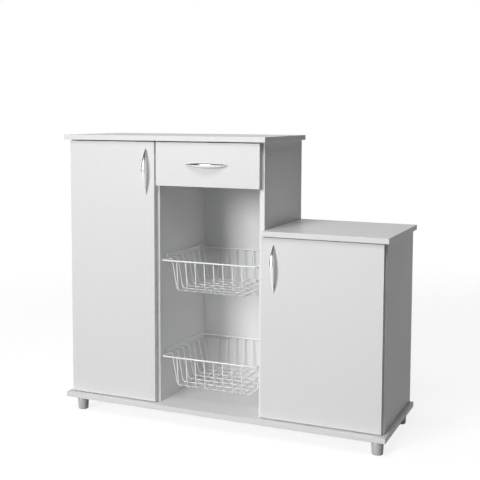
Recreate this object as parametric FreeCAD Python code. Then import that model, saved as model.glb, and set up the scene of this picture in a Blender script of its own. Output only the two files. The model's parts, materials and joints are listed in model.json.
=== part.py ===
import FreeCAD, Part
import math
import os

# Kitchen base cabinet of white faced board, in millimetres.
# A tall cupboard with a door, a middle bay with one drawer over an open niche
# with two pull-out wire baskets, and a low cupboard with a door, all on one
# base board with four round feet.
# While it is drawn, X runs to the right from the left side's outer face, Y runs
# back from the front edges of the upright boards, and Z runs up from the floor.

# Boards
board = 15.0
back_thickness = 3.0
edge_round = 0.8

# Body
left_bay = 273.0
middle_bay = 317.0
right_bay = 336.0
panel_depth = 305.0
tall_height = 780.0
low_height = 520.0

# Base board and tops, measured past the uprights
base_front_reach = 32.0
base_side_reach = 10.0
top_front_reach = 26.5
top_side_reach = 11.0

# Feet
foot_height = 46.0
foot_top_radius = 18.2
foot_bottom_radius = 15.5
foot_edge = 2.0
foot_wall = 3.0
foot_web = 8.0
foot_side_inset = 32.0
foot_front_inset = 44.0
foot_back_inset = 27.0
foot_screw_radius = 2.5
foot_screw_length = 14.0

# Doors and the drawer's front
door_back_gap = 2.0
door_edge_gap = 3.0
door_reveal = 5.0
left_door_lap = 6.0
right_door_lap = 4.0
drawer_left_lap = 3.5
drawer_right_lap = 6.0
drawer_front_height = 127.0

# Bow handles
handle_length = 135.0
handle_rise = 17.0
handle_width = 12.0
handle_thickness = 6.0
handle_tip_width = 3.0
handle_tip_thickness = 2.0
handle_swell_power = 0.75
handle_sections = (-1.0, -0.8, -0.5, 0.0, 0.5, 0.8, 1.0)
handle_screw_pitch = 96.0
handle_post_radius = 4.0
handle_screw_radius = 2.0
handle_screw_grip = 6.0
handle_screw_head_radius = 4.0
handle_screw_head = 2.0
handle_from_top = 20.0
left_handle_inset = 27.0
right_handle_inset = 38.0

# Cup hinges with one pin
hinge_from_end = 90.0
hinge_pin_radius = 1.25
hinge_pin_inset = 5.0
hinge_pin_depth = 7.4
hinge_eye_radius = 2.8
hinge_arm_height = 14.0
hinge_arm_thickness = 2.0
hinge_arm_screw_radius = 2.0
hinge_plate_thickness = 5.0
hinge_plate_front = 16.0
hinge_plate_length = 34.0
hinge_plate_height = 46.0
hinge_plate_screw_pitch = 32.0
hinge_plate_screw_share = 0.75
hinge_arm_screw_share = 0.35
hinge_arm_end_share = 0.55
hinge_cup_radius = 17.5
hinge_cup_inset = 22.5
hinge_cup_depth = 11.5
hinge_cup_wall = 0.8
hinge_flange_thickness = 1.0
hinge_flange_margin = 3.0
hinge_wing_height = 58.0
hinge_wing_width = 14.0
hinge_wing_offset = 6.0
hinge_wing_screw_pitch = 48.0
hinge_screw_radius = 1.75
hinge_screw_length = 11.0
hinge_screw_head_radius = 3.2
hinge_screw_head = 1.6

# Shelves
shelf_front_inset = 18.0
shelf_side_gap = 0.5
shelf_pin_radius = 2.5
shelf_pin_seat = 8.0
shelf_pin_reach = 8.0
shelf_pin_inset = 35.0
left_shelf_levels = (262.0, 520.0)
right_shelf_levels = (262.0,)

# Drawer box on roller runners
niche_ceiling_lift = 2.0
drawer_board = 12.0
drawer_side_height = 85.0
drawer_depth = 270.0
drawer_side_gap = 12.5
drawer_bottom_thickness = 3.0
drawer_bottom_lift = 10.0
drawer_dowel_radius = 3.0
drawer_screw_length = 33.0
drawer_joint_shares = (0.3, 0.75)
groove_depth = 5.0
groove_slack = 0.15
roller_radius = 8.5
roller_width = 5.0
roller_offset = 3.0
roller_side_play = 0.1
roller_axle_radius = 2.0
roller_head_radius = 3.2
roller_front_inset = 12.0
roller_back_inset = 10.0
runner_steel = 1.0
runner_lip = 4.0
runner_lip_gap = 1.0
runner_front_inset = 2.0
runner_web_rise = 18.0
runner_screw_rise = 14.0
runner_screw_shares = (0.2, 0.5, 0.85)
moving_runner_screw_shares = (0.25, 0.75)
runner_back_gap = 1.0
runner_floor_gap = 2.2
drawer_side_drop = 4.0
roll_gap = 0.3

# Pull-out wire baskets
basket_levels = (139.5, 428.0)
basket_rim_radius = 2.5
basket_wire_radius = 1.5
basket_height = 94.0
basket_depth = 296.0
basket_front_inset = 1.0
basket_side_gap = 3.5
basket_corner_radius = 9.0
basket_taper = 10.0
basket_side_taper = 31.0
basket_shoulder = 13.0
basket_bend = 12.0
basket_shoulder_bend = 4.0
basket_weld = 0.4
basket_long_pitch = 29.5
basket_long_count = 8
basket_cross_pitch = 36.0
basket_cross_count = 7
basket_cross_start = 39.0

# Channels that the baskets slide in
channel_wall = 2.4
channel_depth = 8.5
channel_play = 0.7
channel_bar = 9.0
channel_front_inset = 35.0
channel_length = 245.0
channel_screw_shares = (0.1, 0.5, 0.9)

# Fasteners
fit_gap = 0.05
slack = 0.1
panel_screw_radius = 2.5
panel_screw_length = 46.0
panel_screw_head_radius = 4.5
panel_screw_head = 3.5
panel_screw_inset = 45.0
dowel_radius = 4.0
dowel_length = 28.0
dowel_top_depth = 9.0
dowel_inset = 50.0
bracket_size = 22.0
bracket_width = 16.0
bracket_wall = 2.0
bracket_inset = 84.0
bracket_screw_share = 0.62
small_screw_radius = 1.5
small_screw_length = 11.0
small_screw_head_radius = 2.8
small_screw_head = 1.4
nail_radius = 0.8
nail_length = 16.0
nail_head_radius = 2.0
nail_head = 1.0
nail_spacing = 120.0
nail_end_inset = 30.0
back_edge_gap = 1.0

# Places that follow from the sizes above
left_side_x = 0.0
left_room_x = left_side_x + board
left_divider_x = left_room_x + left_bay
niche_x = left_divider_x + board
right_divider_x = niche_x + middle_bay
right_room_x = right_divider_x + board
right_side_x = right_room_x + right_bay
body_width = right_side_x + board
base_z = foot_height
floor_z = base_z + board
tall_z = floor_z + tall_height
low_z = floor_z + low_height
back_y = panel_depth + back_thickness
door_back_y = -door_back_gap
door_front_y = door_back_y - board
drawer_front_top = tall_z - door_edge_gap
drawer_front_bottom = drawer_front_top - drawer_front_height
ceiling_z = drawer_front_bottom + niche_ceiling_lift
ceiling_top = ceiling_z + board

# The origin is on the floor, under the middle of the whole outline
handle_reach = handle_rise + (handle_thickness + handle_tip_thickness) / 2
front_reach = max(base_front_reach, -door_front_y + handle_reach)
origin = FreeCAD.Vector((body_width + base_side_reach - top_side_reach) / 2, (back_y - front_reach) / 2, 0)

right = FreeCAD.Vector(1, 0, 0)
left = FreeCAD.Vector(-1, 0, 0)
backward = FreeCAD.Vector(0, 1, 0)
forward = FreeCAD.Vector(0, -1, 0)
up = FreeCAD.Vector(0, 0, 1)
down = FreeCAD.Vector(0, 0, -1)


def block(x0, x1, y0, y1, z0, z1):
    """A plain box between two corners."""
    return Part.makeBox(x1 - x0, y1 - y0, z1 - z0, FreeCAD.Vector(x0, y0, z0))


def faced_board(x0, x1, y0, y1, z0, z1):
    """A board with its edges eased, as edge banding leaves them."""
    plain = block(x0, x1, y0, y1, z0, z1)
    return plain.makeFillet(edge_round, plain.Edges)


def turned(point, direction, steps, grow=0.0):
    """Cylinders of (radius, length) one after another from a point, each grown by a gap."""
    place = FreeCAD.Vector(*point)
    pieces = []
    for radius, length in steps:
        pieces.append(Part.makeCylinder(radius + grow, length + grow, place, direction))
        place = place + direction * length
    if len(pieces) == 1:
        return pieces[0]
    return pieces[0].multiFuse(pieces[1:]).removeSplitter()


def bored(shape, tools):
    """The shape less all the tools."""
    return shape.cut(tools) if tools else shape


def mirrored(shape):
    """The shape on the other side of the body's middle."""
    return shape.mirror(FreeCAD.Vector(body_width / 2, 0, 0), right)


def export(node, solids):
    """Write one node, moved so that the origin lies on the floor in the middle."""
    group = solids if isinstance(solids, list) else [solids]
    shape = group[0] if len(group) == 1 else Part.makeCompound(group)
    shape = shape.copy()
    shape.translate(origin * -1)
    shape.exportStep("parts/" + node + ".step")


class Fasteners:
    """One kind of fastener: its solids and the holes that they need."""

    def __init__(self, steps):
        self.steps = steps
        self.solids = []
        self.holes = []

    def add(self, point, direction):
        self.solids.append(turned(point, direction, self.steps))
        self.holes.append(turned(point, direction, self.steps, fit_gap))


def bent_path(points, bend_radii):
    """Straight runs through the points, joined by tangent arcs at the inner ones."""
    edges = []
    start = points[0]
    for index in range(1, len(points) - 1):
        corner = points[index]
        into = (corner - points[index - 1]).normalize()
        out = (points[index + 1] - corner).normalize()
        half_turn = into.getAngle(out) / 2
        cut_back = bend_radii[index - 1] * math.tan(half_turn)
        arc_start = corner - into * cut_back
        arc_end = corner + out * cut_back
        inward = (out - into).normalize()
        middle = corner + inward * bend_radii[index - 1] * (1 / math.cos(half_turn) - 1)
        edges.append(Part.LineSegment(start, arc_start).toShape())
        edges.append(Part.Arc(arc_start, middle, arc_end).toShape())
        start = arc_end
    edges.append(Part.LineSegment(start, points[-1]).toShape())
    return Part.Wire(edges)


def round_wire(path, start, direction, radius):
    """A round wire of one thickness along a path."""
    ring = Part.Wire(Part.Circle(start, direction, radius).toShape())
    return path.makePipeShell([ring], True, False)


# Fasteners of the body
panel_screw_steps = [(panel_screw_head_radius, panel_screw_head), (panel_screw_radius, panel_screw_length)]
panel_screws = Fasteners(panel_screw_steps)
for upright_x in (left_side_x, left_divider_x, right_divider_x, right_side_x):
    for screw_y in (panel_screw_inset, panel_depth - panel_screw_inset):
        panel_screws.add((upright_x + board / 2, screw_y, base_z), up)

top_screws = Fasteners(panel_screw_steps)
for screw_y in (panel_screw_inset, panel_depth - panel_screw_inset):
    top_screws.add((right_divider_x, screw_y, low_z + board / 2), right)

dowels = Fasteners([(dowel_radius, dowel_length)])
for upright_x, top_z in ((left_side_x, tall_z), (left_divider_x, tall_z), (right_divider_x, tall_z),
                         (right_side_x, low_z)):
    for dowel_y in (dowel_inset, panel_depth - dowel_inset):
        dowels.add((upright_x + board / 2, dowel_y, top_z + dowel_top_depth), down)
for dowel_y in (dowel_inset, panel_depth - dowel_inset):
    dowels.add((niche_x - dowel_top_depth, dowel_y, ceiling_z + board / 2), right)
    dowels.add((right_divider_x + dowel_top_depth, dowel_y, ceiling_z + board / 2), left)

# Corner brackets under the tops, one pair on each upright inside the two cupboards
small_screw_steps = [(small_screw_head_radius, small_screw_head), (small_screw_radius, small_screw_length)]
bracket_screws = Fasteners(small_screw_steps)
brackets = []


def corner_bracket(wall_x, side, middle_y, top_z):
    """An angle bracket that joins an upright to the top above it. side is +1 for a wall on its left."""
    foot_x = wall_x + side * bracket_size
    plate_x = wall_x + side * bracket_wall
    front = middle_y - bracket_width / 2
    rear = middle_y + bracket_width / 2
    upright = block(min(wall_x, plate_x), max(wall_x, plate_x), front, rear, top_z - bracket_size, top_z)
    flat = block(min(wall_x, foot_x), max(wall_x, foot_x), front, rear, top_z - bracket_wall, top_z)
    screw_offset = bracket_size * bracket_screw_share
    side_head = wall_x + side * (bracket_wall + small_screw_head)
    top_head = top_z - bracket_wall - small_screw_head
    bracket_screws.add((side_head, middle_y, top_z - screw_offset), FreeCAD.Vector(-side, 0, 0))
    bracket_screws.add((wall_x + side * screw_offset, middle_y, top_head), up)
    brackets.append(bored(upright.fuse(flat).removeSplitter(), bracket_screws.holes[-2:]))


for bracket_y in (bracket_inset, panel_depth - bracket_inset):
    corner_bracket(left_room_x, 1, bracket_y, tall_z)
    corner_bracket(left_divider_x, -1, bracket_y, tall_z)
    corner_bracket(right_room_x, 1, bracket_y, low_z)
    corner_bracket(right_side_x, -1, bracket_y, low_z)

# Shelf pins
shelf_pins = Fasteners([(shelf_pin_radius, shelf_pin_seat + shelf_pin_reach)])


def shelf(room_x, room_width, level):
    """A loose shelf on four pins at a height above the cupboard's floor."""
    underside = floor_z + level
    pin_z = underside - shelf_pin_radius - slack
    front = shelf_front_inset
    for pin_y in (front + shelf_pin_inset, panel_depth - shelf_pin_inset):
        shelf_pins.add((room_x - shelf_pin_seat, pin_y, pin_z), right)
        shelf_pins.add((room_x + room_width + shelf_pin_seat, pin_y, pin_z), left)
    return faced_board(room_x + shelf_side_gap, room_x + room_width - shelf_side_gap,
                       front, panel_depth - slack, underside, underside + board)


left_shelves = [shelf(left_room_x, left_bay, level) for level in left_shelf_levels]
right_shelves = [shelf(right_room_x, right_bay, level) for level in right_shelf_levels]

# Nails of the two back panels
nails = Fasteners([(nail_head_radius, nail_head), (nail_radius, nail_length)])


def nail_row(nail_x, top_z):
    """Nails up one upright, evenly spaced."""
    low = floor_z + nail_end_inset
    high = top_z - nail_end_inset
    count = max(2, int((high - low) / nail_spacing) + 1)
    for index in range(count):
        nails.add((nail_x, back_y, low + (high - low) * index / (count - 1)), forward)


nail_row(left_side_x + board / 2, tall_z)
nail_row(left_divider_x + board / 2, tall_z)
nail_row(right_divider_x + board / 4, tall_z)
nail_row(right_divider_x + board * 3 / 4, low_z)
nail_row(right_side_x + board / 2, low_z)

# Feet, each held by one screw up its hollow
foot_screws = Fasteners([(2 * foot_screw_radius, foot_screw_radius), (foot_screw_radius, foot_screw_length)])
foot_front_y = -base_front_reach + foot_front_inset
foot_rear_y = back_y - foot_back_inset
foot_left_x = -base_side_reach + foot_side_inset
foot_right_x = body_width + base_side_reach - foot_side_inset


def foot(middle_x, middle_y):
    """A tapered round foot, hollow from below, with an eased bottom edge."""
    spot = FreeCAD.Vector(middle_x, middle_y, 0)
    cone = Part.makeCone(foot_bottom_radius, foot_top_radius, foot_height, spot, up)
    cone = cone.makeFillet(foot_edge, [edge for edge in cone.Edges if edge.BoundBox.ZMax < foot_edge])
    hollow_height = foot_height - foot_web
    hollow_inset = foot_edge + foot_wall
    hollow = Part.makeCone(foot_bottom_radius - hollow_inset, foot_top_radius - hollow_inset,
                           hollow_height, spot, up)
    foot_screws.add((middle_x, middle_y, hollow_height - foot_screw_radius), up)
    return bored(cone, [hollow, foot_screws.holes[-1]])


feet = {
    "foot_front_left": foot(foot_left_x, foot_front_y),
    "foot_front_right": foot(foot_right_x, foot_front_y),
    "foot_rear_left": foot(foot_left_x, foot_rear_y),
    "foot_rear_right": foot(foot_right_x, foot_rear_y),
}


# Handles
def handle_rise_at(along):
    """The bow's middle line stands off the door as a parabola."""
    return handle_rise * (1 - along ** 2)


def bow_handle():
    """A bow with pointed ends along X, on the plane Y = 0, with two posts for its screws."""
    half = handle_length / 2
    sections = []
    for along in handle_sections:
        swell = (1 - along ** 2) ** handle_swell_power
        half_width = (handle_tip_width + (handle_width - handle_tip_width) * swell) / 2
        half_thick = (handle_tip_thickness + (handle_thickness - handle_tip_thickness) * swell) / 2
        centre = FreeCAD.Vector(along * half, -handle_rise_at(along), 0)
        slope = math.atan2(2 * handle_rise * along, half)
        normal = FreeCAD.Vector(-math.sin(slope), math.cos(slope), 0)
        ellipse = Part.Ellipse(centre + up * half_width, centre + normal * half_thick, centre)
        sections.append(Part.Wire(ellipse.toShape()))
    bow = Part.makeLoft(sections, True, False)
    bow.translate(forward * bow.BoundBox.YMax)
    posts = []
    for side in (-1, 1):
        post_x = side * handle_screw_pitch / 2
        reach = handle_rise_at(handle_screw_pitch / handle_length)
        posts.append(Part.makeCylinder(handle_post_radius, reach, FreeCAD.Vector(post_x, 0, 0), forward))
    return bow.multiFuse(posts).removeSplitter()


def handle_set(place, upright):
    """A handle at a place on a front, with its screws. upright turns it to stand along Z."""
    handle = bow_handle()
    if upright:
        handle.rotate(FreeCAD.Vector(0, 0, 0), backward, 90)
    handle.translate(FreeCAD.Vector(place[0], door_front_y, place[1]))
    screws = Fasteners([(handle_screw_head_radius, handle_screw_head),
                        (handle_screw_radius, board + handle_screw_grip)])
    for side in (-1, 1):
        offset = side * handle_screw_pitch / 2
        screw_x = place[0] + (0 if upright else offset)
        screw_z = place[1] + (offset if upright else 0)
        screws.add((screw_x, door_back_y + handle_screw_head, screw_z), forward)
    return bored(handle, screws.holes), screws


# Doors with their hinges. They are drawn for the left side, and the right one's are mirrored.
pin_x = door_reveal + hinge_pin_inset
pin_y = door_back_y - hinge_pin_depth
cup_x = door_reveal + hinge_cup_inset
arm_x = board + hinge_plate_thickness
plate_screw_y = hinge_plate_front + hinge_plate_length * hinge_plate_screw_share
arm_screw_y = hinge_plate_front + hinge_plate_length * hinge_arm_screw_share
arm_end_y = hinge_plate_front + hinge_plate_length * hinge_arm_end_share


class HingeSet:
    """The hinges of one door, at the given heights."""

    def __init__(self, heights):
        self.cups = []
        self.arms = []
        self.plates = []
        self.pockets = []
        self.pins = Fasteners([(hinge_pin_radius, hinge_arm_height + 4 * hinge_cup_wall)])
        self.cup_screws = Fasteners([(hinge_screw_head_radius, hinge_screw_head),
                                     (hinge_screw_radius, hinge_screw_length)])
        self.plate_screws = Fasteners([(hinge_screw_head_radius, hinge_screw_head),
                                       (hinge_screw_radius, hinge_plate_thickness + hinge_screw_length)])
        self.arm_screws = Fasteners([(hinge_screw_head_radius, hinge_screw_head),
                                     (hinge_arm_screw_radius, hinge_arm_thickness + hinge_plate_thickness)])
        for height in heights:
            self.add(height)

    def cup_body(self, height, grow, depth):
        """The round cup joined to the box that holds the pin, both grown by an amount."""
        half = hinge_arm_height / 2 + 2 * hinge_cup_wall + grow
        middle = FreeCAD.Vector(cup_x, door_back_y, height)
        drum = Part.makeCylinder(hinge_cup_radius + grow, depth, middle, forward)
        housing = block(pin_x - hinge_eye_radius - 1.25 * hinge_cup_wall - grow, cup_x,
                        door_back_y - depth, door_back_y, height - half, height + half)
        return drum.fuse(housing)

    def add(self, height):
        """One hinge: cup, pin, arm, plate and screws."""
        spot = FreeCAD.Vector(cup_x, door_back_y, height)
        self.pins.add((pin_x, pin_y, height - hinge_arm_height / 2 - 2 * hinge_cup_wall), up)
        flange_radius = hinge_cup_radius + hinge_flange_margin
        rim = Part.makeCylinder(flange_radius, hinge_flange_thickness, spot, backward)
        wing_front = cup_x + hinge_wing_offset - hinge_wing_width / 2
        wing = block(wing_front, wing_front + hinge_wing_width,
                     door_back_y, door_back_y + hinge_flange_thickness,
                     height - hinge_wing_height / 2, height + hinge_wing_height / 2)
        beyond_pin = block(pin_x, cup_x + 2 * hinge_cup_radius, door_back_y,
                           door_back_y + hinge_flange_thickness,
                           height - hinge_wing_height, height + hinge_wing_height)
        flange = rim.fuse(wing).common(beyond_pin)
        for side in (-1, 1):
            self.cup_screws.add((cup_x + hinge_wing_offset,
                                 door_back_y + hinge_flange_thickness + hinge_screw_head,
                                 height + side * hinge_wing_screw_pitch / 2), forward)
            self.plate_screws.add((arm_x + hinge_screw_head, plate_screw_y,
                                   height + side * hinge_plate_screw_pitch / 2), left)
        inner = self.cup_body(height, -hinge_cup_wall, hinge_cup_depth - hinge_cup_wall)
        mouth = inner.copy()
        mouth.translate(backward * hinge_flange_thickness)
        outer = self.cup_body(height, 0, hinge_cup_depth)
        tools = [inner, mouth, self.pins.holes[-1]] + self.cup_screws.holes[-2:]
        self.cups.append(bored(outer.fuse(flange), tools))
        self.pockets.append(self.cup_body(height, slack, hinge_cup_depth + slack))
        self.arm_screws.add((arm_x + hinge_arm_thickness + hinge_screw_head, arm_screw_y, height), left)
        self.arms.append(self.arm(height))
        plate = block(board, arm_x, hinge_plate_front, hinge_plate_front + hinge_plate_length,
                      height - hinge_plate_height / 2, height + hinge_plate_height / 2)
        self.plates.append(bored(plate, self.plate_screws.holes[-2:] + [self.arm_screws.holes[-1]]))

    def arm(self, height):
        """A cranked arm from the pin, round the side's front edge, to its plate."""
        low = height - hinge_arm_height / 2
        high = height + hinge_arm_height / 2
        half = hinge_arm_thickness / 2
        arm_back = arm_x + hinge_arm_thickness
        eye = Part.makeCylinder(hinge_eye_radius, hinge_arm_height, FreeCAD.Vector(pin_x, pin_y, low), up)
        across = block(pin_x, arm_back, pin_y - half, pin_y + half, low, high)
        along = block(arm_x, arm_back, pin_y - half, arm_end_y, low, high)
        shape = eye.multiFuse([across, along]).removeSplitter()
        return bored(shape, [self.pins.holes[-1], self.arm_screws.holes[-1]])

    def carcass_holes(self):
        """What the upright beside the hinges loses to their screws."""
        return self.plate_screws.holes + self.arm_screws.holes

    def door_holes(self):
        """What the door loses to the cups and their screws."""
        return self.pockets + self.cup_screws.holes

door_low_z = floor_z + door_edge_gap
left_door_top = tall_z - door_edge_gap
right_door_top = low_z - door_edge_gap
left_door_edge = left_divider_x + left_door_lap
right_door_edge = right_room_x - right_door_lap
drawer_front_left = niche_x - drawer_left_lap
drawer_front_right = right_divider_x + drawer_right_lap

left_hinges = HingeSet((door_low_z + hinge_from_end, left_door_top - hinge_from_end))
right_hinges = HingeSet((door_low_z + hinge_from_end, right_door_top - hinge_from_end))

handle_drop = handle_from_top + handle_length / 2
left_handle_place = (left_door_edge - left_handle_inset, left_door_top - handle_drop)
right_handle_place = (right_door_edge + right_handle_inset, right_door_top - handle_drop)
left_handle, left_handle_screws = handle_set(left_handle_place, True)
right_handle, right_handle_screws = handle_set(right_handle_place, True)
drawer_middle_x = (drawer_front_left + drawer_front_right) / 2
drawer_middle_z = (drawer_front_bottom + drawer_front_top) / 2
drawer_handle, drawer_handle_screws = handle_set((drawer_middle_x, drawer_middle_z), False)

left_door_plain = faced_board(door_reveal, left_door_edge, door_front_y, door_back_y,
                              door_low_z, left_door_top)
right_door_plain = faced_board(right_door_edge, body_width - door_reveal, door_front_y, door_back_y,
                               door_low_z, right_door_top)
right_door_holes = [mirrored(hole) for hole in right_hinges.door_holes()] + right_handle_screws.holes
left_door = bored(left_door_plain, left_hinges.door_holes() + left_handle_screws.holes)
right_door = bored(right_door_plain, right_door_holes)

# Drawer on its roller runners
track_z = ceiling_top + runner_floor_gap + runner_steel
rear_roller_z = track_z + roll_gap + roller_radius
lip_z = rear_roller_z + roller_radius + roll_gap
moving_track_z = lip_z + runner_steel + runner_lip_gap
front_roller_z = moving_track_z - roll_gap - roller_radius
front_roller_y = runner_front_inset + roller_front_inset
drawer_low_z = rear_roller_z - drawer_side_drop
drawer_top_z = drawer_low_z + drawer_side_height
drawer_x = niche_x + drawer_side_gap
drawer_end_x = right_divider_x - drawer_side_gap
drawer_rear_y = door_back_y + drawer_depth
bottom_z = drawer_low_z + drawer_bottom_lift
bottom_top = bottom_z + drawer_bottom_thickness
cabinet_runner_end = drawer_rear_y
drawer_runner_end = drawer_rear_y - runner_back_gap
rear_roller_y = drawer_runner_end - roller_back_inset
drawer_mirror_x = (niche_x + right_divider_x) / 2

runner_screws = Fasteners(small_screw_steps)
drawer_runner_screws = Fasteners(small_screw_steps)
front_axles = Fasteners([(roller_axle_radius, roller_offset + roller_width + roller_side_play),
                         (roller_head_radius, runner_steel)])
rear_axles = Fasteners([(roller_axle_radius, drawer_side_gap - roller_offset + roller_side_play),
                        (roller_head_radius, runner_steel)])


def across_bay(shape):
    """The shape on the other side of the middle bay."""
    return shape.mirror(FreeCAD.Vector(drawer_mirror_x, 0, 0), right)


def cabinet_runner():
    """The fixed runner of the left side, its folded steel as three flat strips that meet at the folds.
    The drawer's rear roller runs on the track and under the lip."""
    web = block(niche_x, niche_x + runner_steel, runner_front_inset, cabinet_runner_end,
                track_z - runner_steel, moving_track_z + runner_web_rise)
    track = block(niche_x + runner_steel, niche_x + roller_offset + roller_width + 2 * runner_steel,
                  runner_front_inset, cabinet_runner_end, track_z - runner_steel, track_z)
    lip_front = front_roller_y + roller_radius + runner_lip_gap
    lip = block(niche_x + runner_steel, niche_x + runner_steel + runner_lip, lip_front, cabinet_runner_end,
                lip_z, lip_z + runner_steel)
    for share in runner_screw_shares:
        screw_y = runner_front_inset + (cabinet_runner_end - runner_front_inset) * share
        runner_screws.add((niche_x + runner_steel + small_screw_head, screw_y,
                           moving_track_z + runner_screw_rise), left)
    front_axles.add((niche_x, front_roller_y, front_roller_z), right)
    return [bored(web, runner_screws.holes + front_axles.holes), track, lip]


def drawer_runner():
    """The moving runner of the left side: it hooks under the drawer's side and rolls on the front roller."""
    steel_x = drawer_x - runner_steel
    front = door_back_y + runner_front_inset
    web = block(steel_x, drawer_x, front, drawer_runner_end, drawer_low_z - runner_steel,
                moving_track_z + runner_steel)
    hook = block(steel_x, drawer_x + drawer_board, front, drawer_runner_end,
                 drawer_low_z - runner_steel, drawer_low_z)
    track = block(niche_x + 2 * runner_steel, drawer_x, front, drawer_runner_end,
                  moving_track_z, moving_track_z + runner_steel)
    for share in moving_runner_screw_shares:
        drawer_runner_screws.add((drawer_x + drawer_board / 2, door_back_y + drawer_depth * share,
                                  drawer_low_z - runner_steel - small_screw_head), up)
    rear_axles.add((drawer_x, rear_roller_y, rear_roller_z), left)
    shape = web.multiFuse([hook, track]).removeSplitter()
    return bored(shape, drawer_runner_screws.holes + rear_axles.holes)


def roller(middle_y, middle_z):
    """A plastic roller of the left side, with a running bore and rounded rims."""
    spot = FreeCAD.Vector(niche_x + roller_offset, middle_y, middle_z)
    rim = Part.makeCylinder(roller_radius, roller_width, spot, right)
    rim = rim.makeFillet(edge_round, [edge for edge in rim.Edges if edge.BoundBox.XLength < slack])
    return rim.cut(Part.makeCylinder(roller_axle_radius + fit_gap, roller_width, spot, right))


left_cabinet_runner = cabinet_runner()
left_drawer_runner = drawer_runner()
front_roller = roller(front_roller_y, front_roller_z)
rear_roller = roller(rear_roller_y, rear_roller_z)

drawer_dowels = Fasteners([(drawer_dowel_radius, dowel_length)])
drawer_screws = Fasteners([(small_screw_head_radius, small_screw_head),
                           (small_screw_radius, drawer_screw_length)])
for side_x, inward in ((drawer_x, right), (drawer_end_x, left)):
    middle_x = side_x + inward.x * drawer_board / 2
    for share in drawer_joint_shares:
        level = drawer_low_z + drawer_side_height * share
        drawer_dowels.add((middle_x, door_back_y - dowel_top_depth, level), backward)
        drawer_screws.add((side_x, drawer_rear_y - drawer_board / 2, level), inward)

groove = block(drawer_x + drawer_board - groove_depth, drawer_end_x - drawer_board + groove_depth,
               door_back_y - groove_depth, drawer_rear_y, bottom_z - groove_slack, bottom_top + groove_slack)
drawer_bottom = block(drawer_x + drawer_board - groove_depth + groove_slack,
                      drawer_end_x - drawer_board + groove_depth - groove_slack,
                      door_back_y - groove_depth + groove_slack, drawer_rear_y - groove_slack,
                      bottom_z, bottom_top)
drawer_left_side = bored(faced_board(drawer_x, drawer_x + drawer_board, door_back_y, drawer_rear_y,
                                     drawer_low_z, drawer_top_z),
                         [groove] + drawer_dowels.holes + drawer_screws.holes + drawer_runner_screws.holes)
drawer_right_side = bored(faced_board(drawer_end_x - drawer_board, drawer_end_x, door_back_y, drawer_rear_y,
                                      drawer_low_z, drawer_top_z),
                          [groove] + drawer_dowels.holes + drawer_screws.holes
                          + [across_bay(hole) for hole in drawer_runner_screws.holes])
drawer_back = bored(block(drawer_x + drawer_board, drawer_end_x - drawer_board, drawer_rear_y - drawer_board,
                          drawer_rear_y, bottom_top + groove_slack, drawer_top_z), drawer_screws.holes)
drawer_front = bored(faced_board(drawer_front_left, drawer_front_right, door_front_y, door_back_y,
                                 drawer_front_bottom, drawer_front_top),
                     [groove] + drawer_dowels.holes + drawer_handle_screws.holes)


# Baskets and their channels
basket_left_x = niche_x + basket_side_gap + basket_rim_radius
basket_right_x = right_divider_x - basket_side_gap - basket_rim_radius
basket_front_y = basket_front_inset
basket_back_y = basket_front_y + basket_depth
basket_middle_x = (basket_left_x + basket_right_x) / 2


def basket_rim(rim_z):
    """The closed rim with round corners, in two halves that meet at the middles of its long sides."""
    halves = []
    middle_x = basket_middle_x
    for side_x in (basket_left_x, basket_right_x):
        points = [FreeCAD.Vector(middle_x, basket_front_y, rim_z),
                  FreeCAD.Vector(side_x, basket_front_y, rim_z),
                  FreeCAD.Vector(side_x, basket_back_y, rim_z),
                  FreeCAD.Vector(middle_x, basket_back_y, rim_z)]
        path = bent_path(points, [basket_corner_radius, basket_corner_radius])
        halves.append(round_wire(path, points[0], right, basket_rim_radius))
    return halves


def long_wire(wire_x, rim_z):
    """A wire from the front of the rim, down, along the basket's floor and up to the back of the rim."""
    floor = rim_z - basket_height + 2 * basket_wire_radius - basket_weld
    points = [FreeCAD.Vector(wire_x, basket_front_y, rim_z),
              FreeCAD.Vector(wire_x, basket_front_y + basket_taper, floor),
              FreeCAD.Vector(wire_x, basket_back_y - basket_taper, floor),
              FreeCAD.Vector(wire_x, basket_back_y, rim_z)]
    path = bent_path(points, [basket_bend, basket_bend])
    return round_wire(path, points[0], points[1] - points[0], basket_wire_radius)


def cross_wire(wire_y, rim_z):
    """A wire from side to side: over the channel's lip, down, across under the long wires and up."""
    floor = rim_z - basket_height
    lip_left = basket_left_x + basket_shoulder
    lip_right = basket_right_x - basket_shoulder
    points = [FreeCAD.Vector(basket_left_x, wire_y, rim_z),
              FreeCAD.Vector(lip_left, wire_y, rim_z),
              FreeCAD.Vector(basket_left_x + basket_side_taper, wire_y, floor),
              FreeCAD.Vector(basket_right_x - basket_side_taper, wire_y, floor),
              FreeCAD.Vector(lip_right, wire_y, rim_z),
              FreeCAD.Vector(basket_right_x, wire_y, rim_z)]
    path = bent_path(points, [basket_shoulder_bend, basket_bend, basket_bend, basket_shoulder_bend])
    return round_wire(path, points[0], right, basket_wire_radius)


def basket(rim_z):
    """A welded basket: rim, long wires and cross wires in one piece."""
    wires = basket_rim(rim_z)
    first_x = basket_middle_x - basket_long_pitch * (basket_long_count - 1) / 2
    for index in range(basket_long_count):
        wires.append(long_wire(first_x + index * basket_long_pitch, rim_z))
    for index in range(basket_cross_count):
        wires.append(cross_wire(basket_front_y + basket_cross_start + index * basket_cross_pitch, rim_z))
    return wires[0].multiFuse(wires[1:])


channel_screws = Fasteners(small_screw_steps)


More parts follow.
